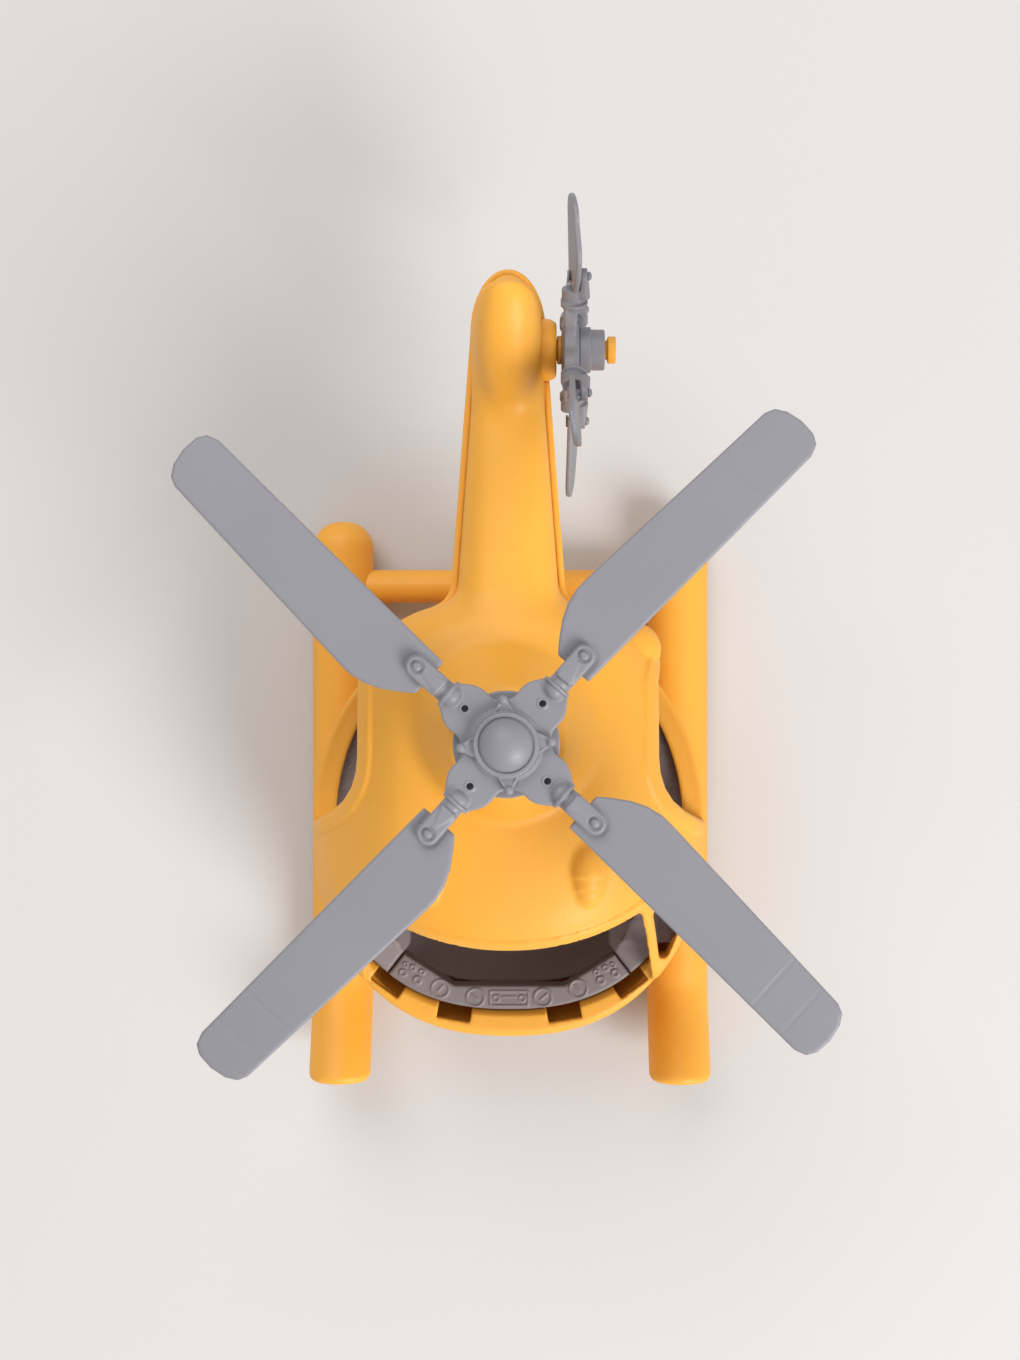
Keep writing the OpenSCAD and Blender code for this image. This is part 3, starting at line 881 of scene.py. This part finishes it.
def tube_hole(y, z, y_axis):
    """The hole that a cross tube runs through."""
    return CROSS_R + 0.05 - np.hypot(y - y_axis, z - CROSS_Z)


def saddle(x, y, z):
    """The block under the belly that grips the front cross tube."""
    block = box_field(x, y, z, (0, FRONT_TUBE_Y, 10.2), (22, 9, 6.7), 1.6)
    return soft_max(block, tube_hole(y, z, FRONT_TUBE_Y), 0.5)


def pylon(x, y, z):
    """The arm from the belly back to the rear cross tube."""
    t = np.clip((y + 42) / 69.5, 0, 1)
    low = 10 - 7.5 * t
    ends = np.maximum(-42 - y, y - REAR_TUBE_Y)
    arm = soft_max(soft_max(low - z, z - PYLON_TOP, 1.5), ends, 1.5)
    eye = np.hypot(y - REAR_TUBE_Y, z - CROSS_Z) - 8.5
    side = soft_min(arm, soft_max(eye, z - PYLON_TOP, 1.5), 1.5)
    out = soft_max(side, np.abs(x) - 12, 1.6)
    return soft_max(out, tube_hole(y, z, REAR_TUBE_Y), 0.5)


def make_floats():
    reach = FLOAT_R + 3
    for side, name in ((-1, "left_float"), (1, "right_float")):
        low = (side * float_x - reach, float_low[1] - 3, -3)
        high = (side * float_x + reach, float_high[1] + 3, 42)
        tube = moulding("tube_" + name, float_tube, low, high, CELL, YELLOW)
        settle(tube, "airframe", "yellow_plastic", name)
    for name, y_axis in (("front_cross_tube", FRONT_TUBE_Y), ("rear_cross_tube", REAR_TUBE_Y)):
        low, high = (-56, y_axis - 8, 3), (56, y_axis + 8, 19)
        bar = moulding("bar_" + name, tube_between(y_axis), low, high, FINE * 1.5, YELLOW)
        settle(bar, "airframe", "yellow_plastic", name)
    block = moulding("saddle_block", saddle, (-25, -92, 1), (25, -67, 20), CELL, YELLOW)
    settle(block, "airframe", "yellow_plastic", "front_saddle")
    arm = moulding("pylon_arm", pylon, (-15, -45, 0), (15, 39, 20), CELL, YELLOW)
    settle(arm, "airframe", "yellow_plastic", "rear_pylon")


# ---------------------------------------------------------------- rotors
BLADE_Z = 151.4
GRIP_Z = 154.4
GRIP_RISE = GRIP_Z - 149
BLADE_T = 2.6
BLADE_PITCH = math.radians(3)
TAIL_BLADE_T = 2.0
TAIL_BLADE_RISE = 3.5
TAIL_PITCH = math.radians(8)
# Distances from a rotor's axis: the holes in the lobes, and the rivets
LOBE_HOLE = 15.95
RIVET_REACH = 34.2
# Height of the horn ring and the caps over the bottom of their hub
CAP_RISE = 5.5


def rotor_frame(z):
    """Places a piece on the mast's axis at a height, turned with the main rotor."""
    return Matrix.Translation((0, hub_y, z)) @ Matrix.Rotation(ROTOR_ANGLE, 4, "Z")


def tail_frame(x):
    """Places a piece on the tail axle, x mm outside the near side of the CAD hub's box."""
    turned = Matrix.Rotation(math.pi / 2, 4, "Y")
    turned = turned @ Matrix.Rotation(math.pi / 2 + TAIL_ANGLE, 4, "Z")
    return Matrix.Translation((tail_x + x, tail_y, tail_z)) @ turned


def spider(k, bore, drum):
    """The hub: four flat lobes, collared arms and grips, folded onto one eighth of itself."""
    lobe_top, hub_top, arm_z = 4.6, CAP_RISE, 3.6

    def field(x, y, z):
        u = np.maximum(np.abs(x), np.abs(y))
        v = np.minimum(np.abs(x), np.abs(y))
        d = np.hypot(x, y)
        out = slab(d - drum, z, 0, hub_top, 0.6)
        plate = soft_min(d - 13.2 * k, np.hypot(u - 15 * k, v) - 7.6 * k, 3.2 * k)
        neck = np.maximum(v - 3.6 * k, u - 22.0 * k)
        plate = soft_min(plate, neck, 3.0 * k)
        ridge = 0.35 * np.exp(-((v / (1.5 * k)) ** 2)) * smooth_step(u, 17 * k, 20 * k)
        out = soft_min(out, slab(plate, z - ridge, 0.6, lobe_top, 0.7), 0.6)
        hole_d = np.hypot(u - LOBE_HOLE * k, v)
        out = soft_min(out, np.hypot(hole_d - 1.35, z - lobe_top) - 0.33, 0.25)
        wide = 3.3 * k
        arm = (np.hypot(v / wide, (z - arm_z) / 3.7) - 1) * wide
        arm = np.maximum(soft_max(arm, 18.5 * k - u, 3 * k), u - 28.8 * k)
        out = soft_min(out, arm, 0.8)
        radial = np.hypot(v, z - arm_z)
        ring = np.maximum(radial - 4.2, np.abs(u - 22.3 * k) - 0.35) - 0.2
        out = soft_min(out, ring, 0.4)
        out = np.maximum(out, -0.45 - z)
        far = u - RIVET_REACH * k
        pad = np.where(far > 0, np.hypot(far, v), v) - 3.3 * k
        pad = np.maximum(pad, 25.2 * k - u)
        grip = slab(pad, z, GRIP_RISE, GRIP_RISE + 2.7, 0.9)
        slope = np.clip((u / k - 25.5) / 7.5, 0, 1)
        rib = v - 2.2 * k * (1 - slope) - 0.3
        rib = np.maximum(np.maximum(rib, 24.8 * k - u), u - 32.8 * k)
        rib = slab(rib, z + 0.5 * slope, GRIP_RISE + 1, GRIP_RISE + 3.25, 0.7)
        out = soft_min(out, soft_min(grip, rib, 0.5), 0.7)
        out = np.maximum(out, bore - d)
        recess = np.maximum(np.hypot(far, v) - 2.0, GRIP_RISE + 2.4 - z)
        out = soft_max(out, -recess, 0.6)
        out = soft_max(out, 1.1 - np.hypot(far, v), 0.2)
        return soft_max(out, -np.maximum(hole_d - 0.95, 1.6 - z), 0.25)

    return field


def blade_points(k, tip):
    """Blade outline from root to tip, bulging to one side near the root."""
    near = [(52.5, 14.2), (47.5, 14.5), (42.5, 13.6), (37.9, 11.7), (33, 8.6), (29.2, 5.8)]
    far = [(6, -11.3), (2.4, -10.2), (0.6, -7.5), (0, -2.5), (0.8, 2.6), (2.6, 5.8), (5.4, 7.2)]
    points = [(29.2 * k, -5.9 * k)]
    points += [(tip - back, y * k) for back, y in far]
    points += [(x * k, y * k) for x, y in near]
    return points


def blade(k, tip, thick, scores):
    """A blade with a groove round its grip and straight score lines across it."""
    points = blade_points(k, tip)
    corner = 0.6 * k
    reach = RIVET_REACH * k

    def field(x, y, z):
        flat = polygon_field(x, y, points)
        flat = soft_max(flat, (29.2 * k + 0.2) - x, 0.6)
        swell = 0.12 * smooth_step(-flat, 0, 6)
        out = slab(flat, z, -thick / 2 + 0.12, thick / 2 - 0.12, corner * 1.3)
        out = out - swell
        around = np.where(x > reach, np.hypot(x - reach, y), np.abs(y)) - 3.75 * k
        groove = np.maximum(np.abs(around) - 0.28, thick / 2 - 0.3 - z)
        out = soft_max(out, -groove, 0.2)
        for r in scores:
            line = np.hypot(np.abs(x) - r, np.abs(z) - thick / 2) - 0.26
            out = soft_max(out, -line, 0.25)
        return soft_max(out, 1.15 - np.hypot(x - reach, y), 0.2)

    return field


def rivet_heads(name, k, base, top, place):
    """Four dome-headed rivets through grip and blade, as one piece."""
    profile = [(0, base - 0.6), (1.9, base - 0.6), (1.9, base), (1.1, base), (1.1, top - 0.4)]
    profile += [(1.4, top - 0.45), (1.4, top - 0.1)]
    dome = [(1.4 * math.cos(a), top - 0.1 + 0.95 * math.sin(a)) for a in np.linspace(0.2, 1.4, 6)]
    profile += dome + [(0, top + 0.85)]
    heads = []
    for i in range(4):
        turn = Matrix.Rotation(math.pi / 2 * i, 4, "Z")
        turn = turn @ Matrix.Translation((RIVET_REACH * k, 0, 0))
        heads.append(lathe(name, profile, GREY, place @ turn, 32))
    bm = bmesh.new()
    for head in heads:
        bm.from_mesh(head.data)
    bm.to_mesh(heads[0].data)
    bm.free()
    heads[0].data.shade_smooth()
    for head in heads[1:]:
        bpy.data.objects.remove(head)
    return heads[0]


def horns(x, y, z):
    """The ring under the hub cap, with four flat rimmed horns that end in balls."""
    turn = math.sqrt(0.5)
    a, b = np.abs(x + y) * turn, np.abs(x - y) * turn
    u, v = np.maximum(a, b), np.minimum(a, b)
    d = np.hypot(x, y)
    ring = slab(np.maximum(d - 9.6, 7.9 - d), z, 0, 3, 0.6)
    t = np.clip((u - 8.5) / 4.9, 0, 1)
    half = 3.6 - 2.8 * t
    side = (v - half) * 0.87
    plate = slab(np.maximum(side, np.maximum(8.3 - u, u - 13)), z, 0, 1.15, 0.3)
    rim = np.maximum(np.hypot(side + 0.4, z - 1.15 + 0.35 * t) - 0.45, np.maximum(8.8 - u, u - 13))
    ball = np.sqrt((u - 13.1) ** 2 + v**2 + (z - 1.0) ** 2) - 1.4
    horn = soft_min(plate, rim, 0.25)
    return soft_max(soft_min(soft_min(ring, horn, 0.4), ball, 0.4), -z - 0.05, 0.1)


def place_blades(prefix, node, body, mesh, place, pitch):
    """A rotor's four equal blades, each pitched about its own length."""
    verts, faces = mesh
    for i in range(4):
        turn = place @ Matrix.Rotation(math.pi / 2 * i, 4, "Z") @ Matrix.Rotation(pitch, 4, "X")
        name = "%s_%d" % (node, i + 1)
        piece = add_mesh(prefix + name, moved(verts, turn), faces, GREY)
        settle(piece, body, "grey_plastic", name)


def make_main_rotor():
    place = rotor_frame(hub_z)
    low, high = (-40, -40, -1.5), (40, 40, 10.5)
    hub = moulding("rotor_hub", spider(1, 4.0, 10.5), low, high, FINE, GREY, place)
    settle(hub, "main_rotor", "grey_plastic", "main_hub")
    low, high = (-16.5, -16.5, -1), (16.5, 16.5, 4)
    on_hub = rotor_frame(hub_z + CAP_RISE)
    ring = moulding("rotor_horn_ring", horns, low, high, FINE * 0.8, GREY, on_hub)
    settle(ring, "main_rotor", "grey_plastic", "horn_ring")
    dome = [(9.85 * math.sin(a), -2.55 + 9.85 * math.cos(a)) for a in np.linspace(0, 0.86, 16)]
    profile = dome + [(7.7, 3.1), (7.62, 2.8), (7.75, 2.65), (7.97, 2.65), (7.97, 0), (0, 0)]
    cap = lathe("rotor_cap", profile, GREY, on_hub)
    settle(cap, "main_rotor", "grey_plastic", "hub_cap")
    disc = rounded([(0, 0), (15.7, 0), (15.7, 3), (0, 3)], 0.7)
    plate = lathe("rotor_disc", disc, GREY, rotor_frame(disc_low[2]))
    settle(plate, "main_rotor", "grey_plastic", "swash_disc")
    foot = mast_low[2]
    shaft = [(0, foot), (6, foot), (6, turret_z + 1.8), (8.4, turret_z + 1.8)]
    shaft += [(8.4, disc_low[2]), (4, disc_low[2]), (4, hub_z + 5.4), (0, hub_z + 5.4)]
    post = lathe("rotor_mast", rounded(shaft, 0.4, 3), GREY, rotor_frame(0))
    settle(post, "main_rotor", "grey_plastic", "mast")
    low, high = (27, -13.5, -3), (130, 17, 3)
    mesh = net(blade(1, ROTOR_R, BLADE_T, (103.5, 115.0)), low, high, FINE * 1.6)
    place = rotor_frame(BLADE_Z + BLADE_T / 2)
    place_blades("rotor_", "main_blade", "main_rotor", mesh, place, BLADE_PITCH)
    heads = rivet_heads("rotor_rivets", 1, BLADE_Z - 0.15, GRIP_Z + 2.9, rotor_frame(0))
    settle(heads, "main_rotor", "grey_plastic", "main_rivets")


def make_tail_rotor():
    k = TAIL_SCALE
    low, high = (-31, -31, -1.5), (31, 31, 10.5)
    hub = moulding("tail_rotor_hub", spider(k, 3.05, 8.2), low, high, FINE, GREY, tail_frame(0))
    settle(hub, "tail_rotor", "grey_plastic", "tail_hub")
    outline = [(3.05, 0), (7.2, 0), (7.2, 3.6), (6.4, 3.6), (6.4, 8), (3.05, 8)]
    cap = lathe("tail_rotor_cap", rounded(outline, 0.6), GREY, tail_frame(CAP_RISE))
    settle(cap, "tail_rotor", "grey_plastic", "tail_cap")
    low, high = (20, -10, -3), (54, 13, 3)
    mesh = net(blade(k, TAIL_R, TAIL_BLADE_T, ()), low, high, FINE * 1.3)
    place = tail_frame(TAIL_BLADE_RISE)
    place_blades("tail_rotor_", "tail_blade", "tail_rotor", mesh, place, TAIL_PITCH)
    heads = rivet_heads("tail_rotor_rivets", k, 2.15, GRIP_RISE + 2.9, tail_frame(0))
    settle(heads, "tail_rotor", "grey_plastic", "tail_rivets")


def make_bearings():
    upright = Matrix.Translation((0, hub_y, 0))
    bush = [(6.05, bush_low[2]), (8, bush_low[2]), (8, turret_z), (10, turret_z)]
    bush += [(10, turret_z + BUSH_FLANGE), (6.05, turret_z + BUSH_FLANGE)]
    piece = lathe("mast_bearing_bush", rounded(bush, 0.35, 3), GREY, upright)
    settle(piece, "airframe", "grey_plastic", "mast_bush")
    collar = [(6, collar_low[2]), (9, collar_low[2]), (9, collar_high[2]), (6, collar_high[2])]
    piece = lathe("mast_lock_collar", rounded(collar, 0.35, 3), GREY, upright)
    settle(piece, "main_rotor", "grey_plastic", "mast_collar")
    along = Matrix.Translation((0, tail_y, tail_z)) @ Matrix.Rotation(math.pi / 2, 4, "Y")
    boss = [(3, -6.1), (6.2, -6.1), (6.2, 6.5), (9.75, 6.5), (9.75, 13), (8.6, 15.2), (3, 15.2)]
    piece = lathe("tail_boss", rounded(boss, 1.0), YELLOW, along)
    settle(piece, "airframe", "yellow_plastic", "tail_axle_housing")
    pin = [(0, -2), (3, -2), (3, 15.4), (4.5, 15.4), (4.5, 16.9), (3, 16.9)]
    pin += [(3, 31.2), (4.25, 31.2), (4.25, 33.9), (0, 33.9)]
    piece = lathe("tail_pin", rounded(pin, 0.6, 4), YELLOW, along)
    settle(piece, "airframe", "yellow_plastic", "tail_axle_pin")


make_shells()
make_cockpit()
make_floats()
make_main_rotor()
make_tail_rotor()
make_bearings()


# ---------------------------------------------------------------- stage, light, camera
def look_at(obj, target):
    obj.rotation_euler = (Vector(target) - obj.location).to_track_quat("-Z", "Y").to_euler()


def make_stage():
    bpy.ops.mesh.primitive_plane_add(size=6, location=(0, 0, 0))
    floor = bpy.context.object
    floor.name = "floor"
    mat = bpy.data.materials.new("pale_floor")
    mat.use_nodes = True
    shader = mat.node_tree.nodes["Principled BSDF"]
    shader.inputs["Base Color"].default_value = (0.625, 0.62, 0.615, 1)
    shader.inputs["Roughness"].default_value = 0.9
    floor.data.materials.append(mat)


def area_light(name, place, target, size, power, colour=(1, 1, 1)):
    data = bpy.data.lights.new(name, "AREA")
    data.shape = "DISK"
    data.size = size
    data.energy = power
    data.color = colour
    lamp = bpy.data.objects.new(name, data)
    lamp.location = place
    look_at(lamp, target)
    bpy.context.scene.collection.objects.link(lamp)


CAMERA_X = 0.0069
CAMERA_Y = -0.005
CAMERA_HEIGHT = 0.863
CAMERA_TILT = math.radians(0.467)
FOCAL_PIXELS = 2450


def make_camera():
    data = bpy.data.cameras.new("camera")
    data.sensor_width = 36
    data.lens = 36 * FOCAL_PIXELS / 1360
    cam = bpy.data.objects.new("camera", data)
    cam.location = (CAMERA_X, CAMERA_Y, CAMERA_HEIGHT)
    cam.rotation_euler = (0, CAMERA_TILT, 0)
    data.clip_start = 0.01
    bpy.context.scene.collection.objects.link(cam)
    bpy.context.scene.camera = cam


def make_lights():
    world = bpy.data.worlds.new("studio")
    world.use_nodes = True
    bpy.context.scene.world = world
    world.node_tree.nodes["Background"].inputs["Color"].default_value = (1, 0.99, 0.98, 1)
    world.node_tree.nodes["Background"].inputs["Strength"].default_value = 0.52
    area_light("key", (1.15, -1.25, 1.3), (0, 0, 0.05), 1.1, 38)
    area_light("fill", (-0.5, 1.2, 1.5), (0, 0, 0.05), 1.6, 18)
    bpy.context.scene.view_settings.view_transform = "Standard"


make_stage()
make_camera()
make_lights()
